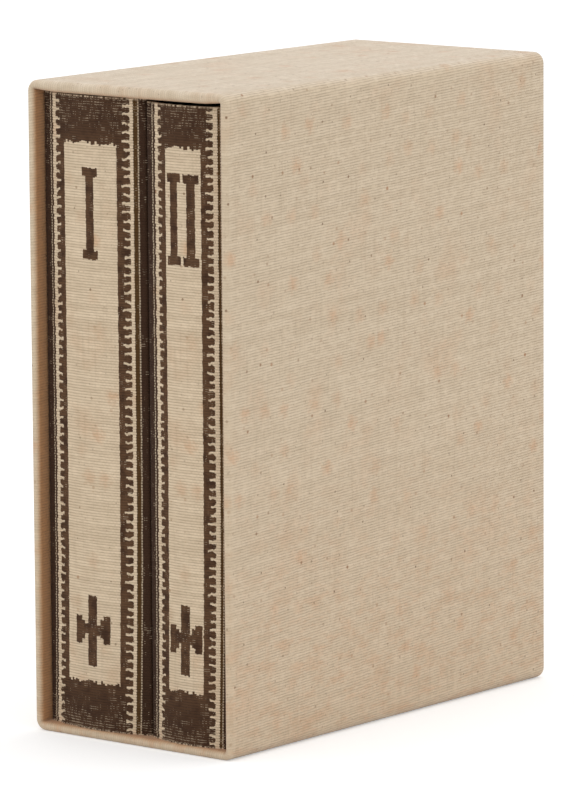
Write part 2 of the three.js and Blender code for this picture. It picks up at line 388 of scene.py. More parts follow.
def set_values(shader, **values):
    """Sets plain values on the shader's own sockets, named with _ for a space."""
    for key, value in values.items():
        shader.inputs[key.replace("_", " ")].default_value = value


def cloth_place(nodes, off_grain=0.0):
    """Along and across the ribs, in millimetres, from the piece's own map."""
    source = nodes.add("ShaderNodeUVMap", uv_map=CLOTH_MAP).outputs["UV"]
    parts = nodes.add("ShaderNodeSeparateXYZ", {0: source}).outputs
    across = nodes.times_plus(parts["X"], -off_grain, parts["Y"])
    return parts["X"], across


def object_place(nodes):
    """The place on the object, in millimetres."""
    source = nodes.add("ShaderNodeTexCoord").outputs["Object"]
    scaled = nodes.add("ShaderNodeVectorMath", {0: source, "Scale": 1 / MM}, operation="SCALE")
    return nodes.add("ShaderNodeSeparateXYZ", {0: scaled.outputs[0]}).outputs


def natural_cloth(nodes, weave, spots, light, valley, thread):
    """The unprinted cloth's colour. Valley and thread are how much painted shade goes into the hollows
    between the ribs and into the thread gaps.
    """
    husk = nodes.mix(spots["Speck Warmth"], HUSK_BROWN, HUSK_ORANGE)
    layers = (
        (nodes.step(weave["Rib Tone"], 0.25, 0.75), 0.45, NATURAL_DARK),
        (nodes.step(spots["Cloud"], 0.35, 0.7), 0.3, NATURAL_DARK),
        (spots["Stain"], 0.6, STAIN_TONE),
        (weave["Valley"], valley, VALLEY_SHADE_AND_WARP_TONE),
        (weave["Thread Gap"], thread, VALLEY_SHADE_AND_WARP_TONE),
        (weave["Warp Tone"], 0.14, VALLEY_SHADE_AND_WARP_TONE),
        (spots["Speck"], 0.85, husk),
    )
    colour = light
    for mask, amount, tone in layers:
        colour = nodes.mix(nodes.times(mask, amount), colour, tone)
    return colour


print("cloth tones ready")

# %% [markdown]
# ## The case cloth's material
#
# The top face of the case gets a paler painted highlight, for the light that falls on it, and its lower part
# yellows in patches, so the light tone changes with height before the weave is laid over it. The cloth
# turned in at the mouth gets a brown painted shade, for the shade inside the mouth, and over the nose of
# each wall, where the ribs are pulled flat, the hollows get less painted shade.

# %% Case cloth material
OFF_GRAIN = math.tan(math.radians(2.6))
CASE_TOP = cad_high.z / MM
YELLOWED_BELOW = 150.0
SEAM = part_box("case_bottom_cloth")[1].x / MM
NOSE_FLAT, NOSE_RIBBED = 1.5, 5.0
TURN_IN_SHADE_FROM, TURN_IN_SHADE_FULL = 0.2, 2.9
CASE_RIB_RISE = 0.16 * MM


def make_case_cloth_material():
    material, nodes, shader = new_material("case_cloth", 0.92)
    along, across = cloth_place(nodes, OFF_GRAIN)
    weave = nodes.place(ribbed_cloth, {"Along": along, "Across": across, "Faintest": 0.3, "Wander": 0.7})
    spots = nodes.place(flecks, {"Along": along, "Across": across})

    # Over the nose of the mouth, where the ribs are pulled flat, the painted shade in the hollows is
    # lighter.
    flat = nodes.rest(nodes.step(nodes.size(along), NOSE_FLAT, NOSE_RIBBED))
    valley = nodes.minus(0.85, nodes.times(flat, 0.45))

    # The lower part has yellowed in patches, and the top face gets a paler painted highlight.
    place = object_place(nodes)
    low_part = nodes.rest(nodes.step(place["Z"], 0.0, YELLOWED_BELOW))
    patchy = nodes.noise(nodes.stretched((along, 0.07), (across, 0.15), 57.0), detail=6.0, roughness=0.72)
    patches = nodes.spread(nodes.step(patchy, 0.46, 0.64), 0.14, 0.68)
    light = nodes.mix(nodes.times(low_part, patches), NATURAL_LIGHT, STAIN_TONE)
    top = nodes.step(place["Z"], CASE_TOP - 3.0, CASE_TOP)
    light = nodes.mix(nodes.times(top, 0.5), light, TOP_PAINTED_LIGHT)
    colour = natural_cloth(nodes, weave, spots, light, valley, 0.2)

    # Under the case the wrap's two turned edges butt against the cloth of its bottom.
    from_seam = nodes.size(nodes.minus(nodes.size(place["X"]), SEAM))
    seam = nodes.rest(nodes.step(from_seam, 0.06, 0.22))
    seam = nodes.times(seam, nodes.math("LESS_THAN", place["Z"], 0.3))
    colour = nodes.mix(nodes.times(seam, 0.7), colour, HUSK_BROWN)

    # Past the nose the turned-in cloth gets a brown painted shade, darker in the rib hollows, for the shade
    # inside the mouth.
    inside = nodes.step(nodes.times(along, -1.0), TURN_IN_SHADE_FROM, TURN_IN_SHADE_FULL)
    turn_in_shade = nodes.mix(nodes.times(weave["Valley"], 0.5), TURN_IN_PAINTED_SHADE, HUSK_BROWN)
    colour = nodes.mix(nodes.times(inside, 0.92), colour, turn_in_shade)
    nodes.join(colour, shader.inputs["Base Color"])
    bump(nodes, shader, nodes.times_plus(seam, -2.0, weave["Height"]), CASE_RIB_RISE)
    set_values(shader, Sheen_Weight=0.25, Sheen_Roughness=0.5, Specular_IOR_Level=0.3)
    return material


case_cloth_material = make_case_cloth_material()
print("case cloth:", len(case_cloth_material.node_tree.nodes), "nodes")

# %% [markdown]
# ## The case's cloth
#
# The wrap goes over the walls, round the mouth as a bull nose and a turn-in's width down their inner
# faces. Its section, drawn once as set-in and depth, is swept round the case's rounded rectangle. Sweeping
# by hand gives every corner of every face its place on the cloth, so the ribs run round the corners and
# over the nose unbroken. A Solidify modifier would give the thickness but not that map. At the top of the
# mouth the turned-in cloth hangs a little, where its paste has let go.

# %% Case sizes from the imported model
back_low, back_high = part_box("case_back_cloth")
CLOTH = back_high.y - back_low.y
WALL = (back_low.x - cad_low.x) + CLOTH
TURN_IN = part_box("case_lining")[0].y - cad_low.y
LONG_EDGE, INNER_CORNER, BACK_EDGE = 4.5 * MM, 0.5 * MM, 2.0 * MM
STRAIGHT_STEP = 7.0 * MM
SIDE_STEPS, END_STEPS, CORNER_STEPS = 34, 12, 8
NOSE_STEPS, INNER_NOSE_STEPS, BACK_STEPS, INNER_BACK_STEPS = 14, 10, 6, 4
SLACK = 0.8 * MM
print("wall", round(WALL / MM, 2), "cloth", round(CLOTH / MM, 2), "turn-in", round(TURN_IN / MM, 2))

# %% Outlines of the case cloth


def arc(centre, radius, start, stop, steps):
    """Points from start to stop, in degrees, about a centre."""
    angles = np.radians(np.linspace(start, stop, steps + 1))
    return [(centre[0] + radius * math.cos(a), centre[1] + radius * math.sin(a)) for a in angles]


def with_steps(points, longest):
    """Adds points so that no straight stretch of a closed outline is longer than this."""
    result = []
    for start, stop in zip(points, points[1:] + points[:1]):
        pieces = max(1, math.ceil(math.dist(start, stop) / longest))
        for i in range(pieces):
            t = i / pieces
            result.append(tuple(a + (b - a) * t for a, b in zip(start, stop)))
    return result


def wall_section():
    """The cloth's section through one wall, as (set in from the outside, back from the mouth)."""
    depth = cad_high.y - cad_low.y
    nose = WALL / 2
    outside = arc((BACK_EDGE, depth - BACK_EDGE), BACK_EDGE, 90, 180, BACK_STEPS)
    outside += arc((nose, nose), nose, 180, 360, NOSE_STEPS)
    inside = arc((nose, nose), nose - CLOTH, 360, 180, INNER_NOSE_STEPS)
    inside += arc((BACK_EDGE, depth - BACK_EDGE), BACK_EDGE - CLOTH, 180, 90, INNER_BACK_STEPS)
    return ([(WALL - CLOTH, depth)] + outside + [(WALL, TURN_IN), (WALL - CLOTH, TURN_IN)]
            + inside + [(WALL - CLOTH, depth - CLOTH)])


def case_outline(set_in):
    """The case's rounded rectangle at a set-in, as (x, z), with the same number of points at any set-in."""
    radius = LONG_EDGE - set_in * (LONG_EDGE - INNER_CORNER) / WALL
    half, high = (cad_high.x - cad_low.x) / 2 - set_in, cad_high.z - set_in
    corners = [
        ((half - radius, set_in + radius), -90), ((half - radius, high - radius), 0),
        ((-half + radius, high - radius), 90), ((-half + radius, set_in + radius), 180),
    ]
    counts = (SIDE_STEPS, END_STEPS) * 2
    points = []
    for i, (centre, start) in enumerate(corners):
        points += arc(centre, radius, start, start + 90, CORNER_STEPS)
        next_centre, next_start = corners[(i + 1) % 4]
        stop = arc(next_centre, radius, next_start, next_start, 1)[0]
        begin = points[-1]
        for k in range(1, counts[i]):
            t = k / counts[i]
            points.append((begin[0] + (stop[0] - begin[0]) * t, begin[1] + (stop[1] - begin[1]) * t))
    return points


print("points round the case:", len(case_outline(0.0)), "and round a wall:", len(wall_section()))

# %% Case cloth mesh


def in_scene(name, data):
    thing = bpy.data.objects.new(name, data)
    bpy.context.scene.collection.objects.link(thing)
    return thing


def mesh_object(name, vertices, faces, uv, material):
    mesh = bpy.data.meshes.new(name)
    mesh.from_pydata(vertices, [], faces)
    layer = mesh.uv_layers.new(name=CLOTH_MAP)
    layer.data.foreach_set("uv", np.array(uv, dtype=np.float32).ravel())
    mesh.validate()
    mesh.materials.append(material)
    return in_scene(name, mesh)


def smooth(piece, degrees=40):
    for polygon in piece.data.polygons:
        polygon.use_smooth = True
    piece.data.set_sharp_from_angle(angle=math.radians(degrees))


def slack(x, z, set_in, back):
    """How far the turned-in cloth hangs from the underside of the case's top, most of it at the mouth."""
    if z < cad_high.z - WALL - 0.1 * MM or back > TURN_IN:
        return 0.0
    half = (cad_high.x - cad_low.x) / 2 - WALL
    middle = max(0.0, 1 - (x / half) ** 12)
    return SLACK * (set_in / WALL) * middle * (1 - back / TURN_IN)


def make_case_cloth():
    section = with_steps(wall_section(), STRAIGHT_STEP)
    rings = [case_outline(set_in) for set_in, _ in section]
    count = len(rings[0])
    outside = case_outline(0.0)
    around = [0.0]
    for start, stop in zip(outside, outside[1:] + outside[:1]):
        around.append(around[-1] + math.dist(start, stop) / MM)
    apex = min(range(len(section)), key=lambda i: section[i][1])
    run = [0.0]
    for start, stop in zip(section, section[1:] + section[:1]):
        run.append(run[-1] + math.dist(start, stop) / MM)
    vertices, faces, uv = [], [], []
    for (set_in, back), ring in zip(section, rings):
        vertices += [(x, cad_low.y + back, z - slack(x, z, set_in, back)) for x, z in ring]
    for i in range(len(section)):
        following = (i + 1) % len(section)
        for j in range(count):
            k = (j + 1) % count
            faces.append((i * count + j, following * count + j, following * count + k, i * count + k))
            low, high = run[i] - run[apex], run[i + 1] - run[apex]
            uv += [(-low, around[j]), (-high, around[j]), (-high, around[j + 1]), (-low, around[j + 1])]
    piece = mesh_object("case_cloth", vertices, faces, uv, case_cloth_material)
    smooth(piece, 50)
    return piece


case_cloth = make_case_cloth()
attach(case_cloth, "slipcase")
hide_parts("case_wrap_cloth", "case_bottom_cloth")
print("case cloth faces:", len(case_cloth.data.polygons))

# %% [markdown]
# ## The back's cloth
#
# The back is covered last, with a panel trimmed to fit inside the wrap's edge. Its rim is eased, so the
# joint reads as a fine line. It is built as four loops of corners, each set in and raised a little more
# than the one before, because a plain box with a bevel would need its map made again afterwards.

# %% Back panel


def make_back_cloth():
    low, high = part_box("case_back_cloth")
    ease = 0.25 * MM
    rim = [(0.0, CLOTH), (0.0, ease), (0.1 * MM, 0.08 * MM), (ease, 0.0)]
    vertices, faces, uv = [], [], []
    loops = []
    for set_in, below in rim:
        x0, x1, z0, z1 = low.x + set_in, high.x - set_in, low.z + set_in, high.z - set_in
        loops.append([(x0, z0), (x1, z0), (x1, z1), (x0, z1)])
        vertices += [(x, high.y - below, z) for x, z in loops[-1]]
    for i in range(len(rim) - 1):
        for j in range(4):
            k = (j + 1) % 4
            faces.append((i * 4 + j, i * 4 + k, i * 4 + 4 + k, i * 4 + 4 + j))
    last = 4 * (len(rim) - 1)
    faces.append((last, last + 1, last + 2, last + 3))
    faces.append((3, 2, 1, 0))
    for face in faces:
        uv += [(vertices[v][2] / MM, vertices[v][0] / MM) for v in face]
    piece = mesh_object("case_back_panel", vertices, faces, uv, case_cloth_material)
    make_faces_point_out(piece)
    return piece


def make_faces_point_out(piece):
    work = bmesh.new()
    work.from_mesh(piece.data)
    bmesh.ops.recalc_face_normals(work, faces=work.faces)
    work.to_mesh(piece.data)
    work.free()


back_panel = make_back_cloth()
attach(back_panel, "slipcase")
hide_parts("case_back_cloth")
print("back panel faces:", len(back_panel.data.polygons))

# %% [markdown]
# ## The printed spines
#
# Each spine is printed in one dark brown ink. The pattern is plain: a long pale panel inside a dark border,
# a toothed edge, a pale band, a thin dark line and a thin pale line near each shoulder, a dark field at the
# head and foot, the volume's number, and a small stepped cross. The panel, the number and the cross are
# made of rectangles with soft ragged edges, so one node group that tests a rectangle draws them all. The
# border needs a group of its own. A painted picture could do the same, but it would blur in a close view.

# %% Printed block group
EDGE_RAMP = 0.16


def make_block():
    """1 inside a rectangle about (X, Y), with a short ramp at its edges."""
    tree, nodes, given, end = new_group(
        "printed_block",
        {"Along": 0.0, "Up": 0.0, "X": 0.0, "Y": 0.0, "Half Width": 1.0, "Half Height": 1.0,
         "Softness": EDGE_RAMP},
        ["Mask"])
    from_x = nodes.size(nodes.minus(given["Along"], given["X"]))
    from_y = nodes.size(nodes.minus(given["Up"], given["Y"]))
    past_x, past_y = nodes.minus(from_x, given["Half Width"]), nodes.minus(from_y, given["Half Height"])
    out = nodes.math("MAXIMUM", past_x, past_y)
    mask = nodes.minus(0.5, nodes.over(out, given["Softness"]), clamp=True)
    nodes.finish(end, {"Mask": mask})
    return tree


printed_block = make_block()
print("printed block group:", len(printed_block.nodes), "nodes")

# %% Toothed border group
TOOTH_PITCH, SLIT_WIDTH = 3.4, 0.92


def make_toothed_border():
    """1 where the border's ink lies: out to a row of slit teeth, a line, then the shoulder."""
    tree, nodes, given, end = new_group(
        "toothed_border",
        {"Out": 0.0, "Up": 0.0, "Slit Root": 15.0, "Tooth Tip": 18.4, "Band": 20.0, "Line": 21.3,
         "Pale Line": 21.9, "Tooth Pitch": TOOTH_PITCH, "Slit": SLIT_WIDTH, "Softness": EDGE_RAMP,
         "Rag": 0.0, "Valley": 0.0},
        ["Ink"])
    out, up, rag = given["Out"], given["Up"], given["Rag"]
    count = nodes.over(up, given["Tooth Pitch"])
    number = nodes.math("FLOOR", count)
    phase = nodes.minus(nodes.minus(count, number), 0.5)
    own = nodes.add("ShaderNodeSeparateColor", {"Color": nodes.chance(number, "Color")}).outputs
    past_root = nodes.minus(out, given["Slit Root"])

    # The slits between the teeth lean a little, each in its own way, and widen round the teeth's ends.
    lean = nodes.times(past_root, nodes.spread(own[0], -0.035, 0.05))
    off = nodes.times(nodes.size(nodes.plus(phase, lean)), given["Tooth Pitch"])
    from_tip = nodes.minus(given["Tooth Tip"], out)
    widen = nodes.minus(0.33, nodes.times(nodes.step(from_tip, -0.2, 1.0), 0.33))
    half_slit = nodes.times_plus(given["Slit"], 0.5, widen)
    half_slit = nodes.times_plus(rag, 0.12, half_slit)
    depth = nodes.plus(given["Slit Root"], nodes.spread(own[1], -0.5, 0.9))

    def ramp(inside, width):
        return nodes.plus(nodes.over(inside, width), 0.5, clamp=True)

    def within(limit, ragged=0.7):
        near = nodes.minus(nodes.times_plus(rag, ragged, limit), out)
        return ramp(near, given["Softness"])

    in_slit = nodes.times(ramp(nodes.minus(half_slit, off), 0.22), ramp(nodes.minus(out, depth), 0.3))

    # The thin pale line is left out in the hollows between two ribs, so the border's ink shows there.
    field = nodes.times(within(given["Tooth Tip"]), nodes.rest(in_slit))
    thin_pale = nodes.minus(within(given["Pale Line"], 0.2), within(given["Line"], 0.2))
    whole = nodes.minus(0.85, nodes.times(nodes.step(given["Valley"], 0.1, 0.5), 0.6))
    whole = nodes.times(whole, nodes.spread(rag, 0.75, 1.35), clamp=True)
    outside = nodes.rest(within(given["Band"], 0.7))
    outside = nodes.times(outside, nodes.rest(nodes.times(thin_pale, whole)))
    nodes.finish(end, {"Ink": nodes.math("MAXIMUM", field, outside, clamp=True)})
    return tree


toothed_border = make_toothed_border()
print("toothed border group:", len(toothed_border.nodes), "nodes")

# %% [markdown]
# ## Where the print lies
#
# All places are in millimetres: across from the middle of the print, and up from the case's underside. A
# pair gives the left and the right side, because the block was pressed a little unevenly. The numerals are
# slab-ended strokes, and the cross is an upright, a bar and two stepped arms.

# %% Print layout
INK_DARK = srgb(68, 46, 32)
INK_WORN = srgb(98, 71, 50)
INK_PAINTED_SHADE = srgb(42, 27, 17)
PANEL_LIGHT = srgb(243, 222, 193)
LINE_BROWN = srgb(86, 61, 30)

PRINTS = {
    "volume_1": {
        "offset": 0.6, "panel": 13.0, "root": 15.5, "tip": (18.1, 18.7), "band": (20.05, 20.05),
        "line": (21.1, 21.75), "pale": (21.7, 22.25),
        "head": 231.4, "foot": 22.3, "numeral": [(0.35, 3.75, 1.95)], "numeral_z": (186.7, 221.8),
        "cross": (-0.1, 42.2, 8.6, 13.9), "height": 245.9, "sway": 1.5,
    },
    "volume_2": {
        "offset": 1.0, "panel": 8.5, "root": 10.8, "tip": (12.9, 13.6), "band": (14.85, 15.3),
        "line": (16.1, 16.2), "pale": (16.8, 16.7),
        "head": 232.4, "foot": 24.1,
        "numeral": [(-4.2, 3.4, 1.85), (4.0, 3.6, 1.95)], "numeral_z": (187.8, 222.6),
        "cross": (0.1, 44.0, 7.8, 13.6), "height": 245.0, "sway": 1.3,
    },
}
SLAB = 3.4
UPRIGHT_HALF, BAR_HALF, BAR_RAISED = 2.2, 2.0, 0.7
ARM_STEPS = ((4.7, 3.7), (3.2, 5.5))
ARM_TILT = 0.4


def stepped_cross(x, y, half_width, half_height):
    """Blocks of a plain cross: an upright, a bar, and arms whose ends widen in two steps."""
    bar_y = y + BAR_RAISED
    blocks = [
        {"X": x, "Y": y, "Half Width": UPRIGHT_HALF, "Half Height": half_height},
        {"X": x, "Y": bar_y, "Half Width": half_width, "Half Height": BAR_HALF},
    ]
    for side in (-1, 1):
        for wide, high in ARM_STEPS:
            blocks.append({"X": x + side * (half_width - wide / 2), "Y": bar_y + side * ARM_TILT,
                           "Half Width": wide / 2, "Half Height": high})
    return blocks


def numeral_blocks(strokes, low, high):
    """Blocks of a slab-ended I for each stroke: its middle, half its slab and half its stem."""
    blocks = []
    for middle, slab_half, stem_half in strokes:
        blocks.append({"X": middle, "Y": (low + high) / 2, "Half Width": stem_half,
                       "Half Height": (high - low) / 2})
        for level in (low + SLAB / 2, high - SLAB / 2):
            blocks.append({"X": middle, "Y": level, "Half Width": slab_half, "Half Height": SLAB / 2})
    return blocks


for volume, layout in PRINTS.items():
    print(volume, "blocks:", len(numeral_blocks(layout["numeral"], *layout["numeral_z"])), "in the number")

# %% [markdown]
# ## How ink takes on ribbed cloth
#
# Ink sits on the tops of the ribs and misses some of the hollows and loose threads, so pale specks show
# through in dashes along the ribs, more of them where hands have rubbed the head and foot. The print's
# edges jump by a thread or two from rib to rib, and the long lines sway a little, as a block pressed by
# hand leaves them.

# %% Ragged edges and missed threads
FRINGE_THREAD = 0.95


def ragged_shifts(nodes, along, up, weave):
    """How far the print's edge strays sideways and upwards, its fringe, and the jump from rib to rib."""
    slow = nodes.minus(nodes.noise(nodes.vector(along, up, 3.0), scale=0.5, detail=3.0), 0.5)
    jump = nodes.minus(nodes.chance(weave["Rib Number"]), 0.5)
    thread = nodes.math("FLOOR", nodes.over(along, FRINGE_THREAD))
    fringe = nodes.minus(nodes.chance(thread), 0.5)
    sideways = nodes.plus(nodes.times(slow, 0.25), nodes.times(jump, 0.25))
    return sideways, nodes.times(slow, 0.5), fringe, jump


def missed_threads(nodes, along, up, weave, height):
    """Fine pale dashes where ink missed the hollows: more at the head and foot, fewer on the boards."""
    row = nodes.times(weave["Rib Number"], 5.3)
    long_dash = nodes.noise(nodes.vector(nodes.times(along, 0.25), row, 2.0), detail=2.0)
    short_dash = nodes.noise(nodes.vector(nodes.times(along, 1.1), row, 6.0), detail=2.0)
    dash = nodes.times_plus(short_dash, 0.55, nodes.times(long_dash, 0.45))
    patch = nodes.noise(nodes.vector(along, up, 23.0), scale=0.07, detail=2.0)
    head = nodes.step(up, height - 14.0, height + 2.0)
    foot = nodes.rest(nodes.step(up, 4.0, 19.0))
    sides = nodes.step(nodes.size(along), 22.0, 32.0)
    lean = nodes.times_plus(nodes.minus(patch, 0.5), 0.2, -0.04)
    lean = nodes.times_plus(sides, -0.03, lean)
    lean = nodes.times_plus(nodes.times_plus(foot, 1.3, head), 0.08, lean)
    value = nodes.plus(dash, lean)
    hollow = nodes.step(weave["Valley"], 0.12, 0.45)
    missed = nodes.times(nodes.step(value, 0.53, 0.60), hollow)
    clearest = nodes.minus(0.66, nodes.times(weave["Thread Gap"], 0.4))
    missed = nodes.times(missed, clearest)

    # The folds at the head and foot are rubbed bare in places.
    bare = nodes.noise(nodes.vector(nodes.times(along, 0.9), 0.0, 11.0), detail=3.0)
    edge = nodes.math("MAXIMUM", nodes.step(up, height + 2.7, height + 3.4),
                      nodes.rest(nodes.step(up, 3.7, 4.2)))
    rubbed = nodes.times(edge, nodes.step(bare, 0.44, 0.56))
    return nodes.math("MAXIMUM", missed, rubbed)


print("ink habits ready")

# %% [markdown]
# ## The printed cloth's material
#
# The border, panel, number and cross are put together as one mask of ink, and the mask then chooses between
# the bare cloth and the ink. The ink is thinner and browner in clouds over the middle, thick at the head and
# foot, and brown on the line beyond the right-hand band, and painted shade darkens it in the rib hollows and
# towards the shoulders, where the spine turns into the joint. One function builds the material for both
# volumes, each from its own layout.

# %% Printed cloth material
PRINTED_RIB_RISE = 0.2 * MM
SWAY_BELOW = 115.0


def place_print(nodes, along, up, weave, layout):
    """The mask of ink, and the place across the print that its lines were drawn on."""
    sideways, upwards, fringe, jump = ragged_shifts(nodes, along, up, weave)
    foot = nodes.rest(nodes.over(up, SWAY_BELOW), clamp=True)
    sway = nodes.times(nodes.math("POWER", foot, 2.0), layout["sway"])
    x = nodes.plus(nodes.minus(along, layout["offset"]), nodes.plus(sideways, sway))
    y = nodes.times_plus(fringe, 0.55, nodes.plus(up, upwards))
    y_panel = nodes.times_plus(fringe, 1.1, y)

    rag = nodes.times_plus(weave["Valley"], -0.5, nodes.times(jump, 0.6))
    right = nodes.math("GREATER_THAN", x, 0.0)
    limits = {}
    sockets = {"Tooth Tip": "tip", "Band": "band", "Line": "line", "Pale Line": "pale"}
    for socket_name, key in sockets.items():
        here, there = layout[key]
        limits[socket_name] = nodes.times_plus(right, there - here, here)
    bend = nodes.noise(nodes.stretched((along, 0.5), (up, 0.3), 41.0))
    teeth_up = nodes.times_plus(nodes.minus(bend, 0.5), 2.2, up)
    border = nodes.place(toothed_border, {
        "Out": nodes.size(x), "Up": teeth_up, "Rag": rag, "Slit Root": layout["root"],
        "Valley": weave["Valley"], **limits})["Ink"]
    panel = nodes.place(printed_block, {
        "Along": x, "Up": y_panel, "Y": (layout["head"] + layout["foot"]) / 2,
        "Half Width": layout["panel"], "Half Height": (layout["head"] - layout["foot"]) / 2})["Mask"]
    ink = nodes.times(border, nodes.rest(panel))
    for block in numeral_blocks(layout["numeral"], *layout["numeral_z"]) + stepped_cross(*layout["cross"]):
        mask = nodes.place(printed_block, {"Along": x, "Up": y, **block})["Mask"]
        ink = nodes.math("MAXIMUM", ink, mask)
    bare = missed_threads(nodes, along, up, weave, layout["height"])
    return nodes.times(ink, nodes.rest(bare)), x


def ink_tone(nodes, along, up, x, weave, layout):
    tone = nodes.noise(nodes.vector(along, up, 19.0), scale=0.25, detail=4.0)
    head = nodes.step(up, 225.0, 240.0)
    foot = nodes.rest(nodes.step(up, 12.0, 30.0))
    ends = nodes.rest(nodes.math("MAXIMUM", head, foot))
    thinner = nodes.times(nodes.step(tone, 0.25, 0.6), nodes.spread(ends, 0.3, 1.0))
    # Towards the shoulders the ink is not thinned, and painted shade darkens it where the spine turns into
    # the joint.
    shoulder = nodes.step(nodes.size(x), layout["tip"][0], layout["pale"][0])
    thinner = nodes.times(thinner, nodes.rest(shoulder))
    ink_colour = nodes.mix(thinner, INK_DARK, INK_WORN)
    ink_colour = nodes.mix(nodes.times(shoulder, 0.28), ink_colour, INK_PAINTED_SHADE)

    # The line beyond the right-hand band took its ink thinly, and is browner.
    line_starts, line_ends = layout["band"][1], layout["line"][1]
    on_line = nodes.minus(nodes.step(x, line_starts - 0.6, line_starts),
                          nodes.step(x, line_ends, line_ends + 0.4), clamp=True)
    ink_colour = nodes.mix(nodes.times(on_line, 0.85), ink_colour, LINE_BROWN)
    # Painted shade darkens the ink in the hollows between the ribs.
    return nodes.mix(nodes.times(weave["Valley"], 0.6), ink_colour, INK_PAINTED_SHADE)


def make_printed_cloth_material(volume, layout):
    material, nodes, shader = new_material("printed_cloth_" + volume, 0.9)
    along, up = cloth_place(nodes)
    weave = nodes.place(ribbed_cloth, {"Along": along, "Across": up, "Faintest": 0.6})
    spots = nodes.place(flecks, {"Along": along, "Across": up, "Amount": 0.38})
    ink, x = place_print(nodes, along, up, weave, layout)
    bare_cloth = natural_cloth(nodes, weave, spots, PANEL_LIGHT, 0.78, 0.55)
    colour = nodes.mix(ink, bare_cloth, ink_tone(nodes, along, up, x, weave, layout))
    nodes.join(colour, shader.inputs["Base Color"])
    nodes.join(nodes.spread(ink, 0.92, 0.8), shader.inputs["Roughness"])
    bump(nodes, shader, weave["Height"], PRINTED_RIB_RISE)
    set_values(shader, Sheen_Weight=0.03, Specular_IOR_Level=0.1)
    return material


printed_cloth = {volume: make_printed_cloth_material(volume, layout) for volume, layout in PRINTS.items()}
for volume, material in printed_cloth.items():
    print(volume, "printed cloth:", len(material.node_tree.nodes), "nodes")

# %% [markdown]
# ## The volumes' covers
#
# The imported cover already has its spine, hinge grooves and turn-ins. A copy of it gets its loose triangles
# merged, its edges softened by a small bevel, and a map that unrolls the cloth: across the spine, round
# the shoulder and back over the board. Building the cover anew would risk a gap to the boards inside it,
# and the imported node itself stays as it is.

# %% Cover cloth pieces
VOLUMES = ("volume_1", "volume_2")
SHOULDER_DEPTH = 6.2 * MM
EDGE_BEVEL = 0.3 * MM
SHARP_ANGLE = 50


def cover_copy(volume):
    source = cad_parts[volume + "_cover_cloth"]
    low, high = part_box(source.name)
    middle = (low.x + high.x) / 2
    work = bmesh.new()
    work.from_mesh(source.data)
    bmesh.ops.remove_doubles(work, verts=work.verts, dist=0.002 * MM)
    bmesh.ops.dissolve_limit(work, angle_limit=math.radians(0.3), verts=work.verts, edges=work.edges)
    sharp = [e for e in work.edges if e.is_manifold and e.calc_face_angle(0) > math.radians(SHARP_ANGLE)]
    bmesh.ops.bevel(work, geom=sharp, offset=EDGE_BEVEL, segments=2, profile=0.6, affect="EDGES",
                    clamp_overlap=True)
    bmesh.ops.triangulate(work, faces=work.faces)
    shoulder = low.y + SHOULDER_DEPTH
    layer = work.loops.layers.uv.new(CLOTH_MAP)
    for face in work.faces:
        for loop in face.loops:
            x, y, z = loop.vert.co
            beyond = max(0.0, y - shoulder)
            along = (x - middle) + math.copysign(beyond, x - middle)
            loop[layer].uv = (along / MM, z / MM)
    mesh = bpy.data.meshes.new(volume + "_cover")
    work.to_mesh(mesh)
    work.free()
    piece = in_scene(volume + "_cover", mesh)
    mesh.materials.append(printed_cloth[volume])
    smooth(piece, 35)
    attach(piece, volume)
    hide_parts(source.name)
    return piece


for volume in VOLUMES:
    cover = cover_copy(volume)
    print(cover.name, "faces:", len(cover.data.polygons))

# %% [markdown]
# ## Paper and board
#
# The page edges show as hundreds of fine lines, with a darker one where gatherings meet. Boards and linings
# are plain papers with a little fibre. None of them shows in the closed set, but they show as soon as a
# volume is pulled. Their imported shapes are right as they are, so they only get a finish.

# %% Paper group and materials
LEAF_PALE, LEAF_SHADE = srgb(232, 221, 197), srgb(196, 181, 152)
GATHERING_SHADE, FOXED = srgb(182, 165, 134), srgb(201, 178, 140)


def make_paper_fibre():
    tree, nodes, given, end = new_group("paper_fibre", {"X": 0.0, "Y": 0.0, "Z": 0.0}, ["Fibre", "Mottle"])
    place = nodes.vector(given["X"], given["Y"], given["Z"])
    fine = nodes.noise(place, scale=2.5, detail=5.0, roughness=0.7)
    nodes.finish(end, {"Fibre": fine, "Mottle": nodes.noise(place, scale=0.06, detail=3.0)})
    return tree


paper_fibre = make_paper_fibre()


def paper_material(name, pale, dark):
    material, nodes, shader = new_material(name, 0.9)
    place = object_place(nodes)
    fibre = nodes.place(paper_fibre, {"X": place["X"], "Y": place["Y"], "Z": place["Z"]})
    mask = nodes.times_plus(fibre["Fibre"], 0.5, nodes.times(fibre["Mottle"], 0.5))
    nodes.join(nodes.mix(nodes.step(mask, 0.35, 0.65), pale, dark), shader.inputs["Base Color"])
    bump(nodes, shader, fibre["Fibre"], 0.04 * MM)
    set_values(shader, Specular_IOR_Level=0.3)
    return material


